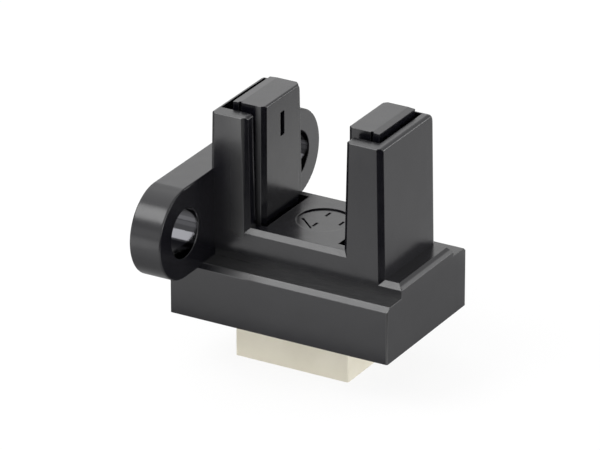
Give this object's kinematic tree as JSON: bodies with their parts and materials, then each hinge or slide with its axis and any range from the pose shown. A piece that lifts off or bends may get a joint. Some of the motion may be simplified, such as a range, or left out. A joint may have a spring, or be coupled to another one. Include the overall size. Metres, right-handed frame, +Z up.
{
  "type": "fork sensor",
  "caption": "Small slotted optical sensor with a U-shaped fork, a side flange with screw holes and a plug socket under its base.",
  "frame": {"origin": "on the flat side of the flange, midway between the two screw holes", "axes": "+X from the flange across the slot, +Y along the line of the screw holes, +Z up out of the fork"},
  "size_m": [0.0155, 0.0198, 0.0172],
  "materials": {
    "case_plastic": "smooth black moulding",
    "block_plastic": "smooth black moulding",
    "cover_plastic": "plain black moulding",
    "socket_plastic": "natural cream nylon",
    "clear_moulding": "tinted clear resin",
    "dark_moulding": "dark resin",
    "lead_metal": "tinned",
    "pin_metal": "tinned",
    "solder": "bright",
    "board": "solder mask",
    "chip": "plain",
    "chip_capacitor": "plain"
  },
  "bodies": {
    "root": {"base_cover": "cover_plastic", "bypass_capacitor": "chip_capacitor", "case": "case_plastic", "circuit_board": "board", "connector_housing": "socket_plastic", "connector_pin_1": "pin_metal", "connector_pin_2": "pin_metal", "connector_pin_3": "pin_metal", "emitter_block": "block_plastic", "emitter_lead_1": "lead_metal", "emitter_lead_2": "lead_metal", "emitter_package": "clear_moulding", "limiting_resistor": "chip", "pullup_resistor": "chip", "receiver_block": "block_plastic", "receiver_lead_1": "lead_metal", "receiver_lead_2": "lead_metal", "receiver_lead_3": "lead_metal", "receiver_package": "dark_moulding", "solder_joints": "solder"}
  },
  "joints": []
}
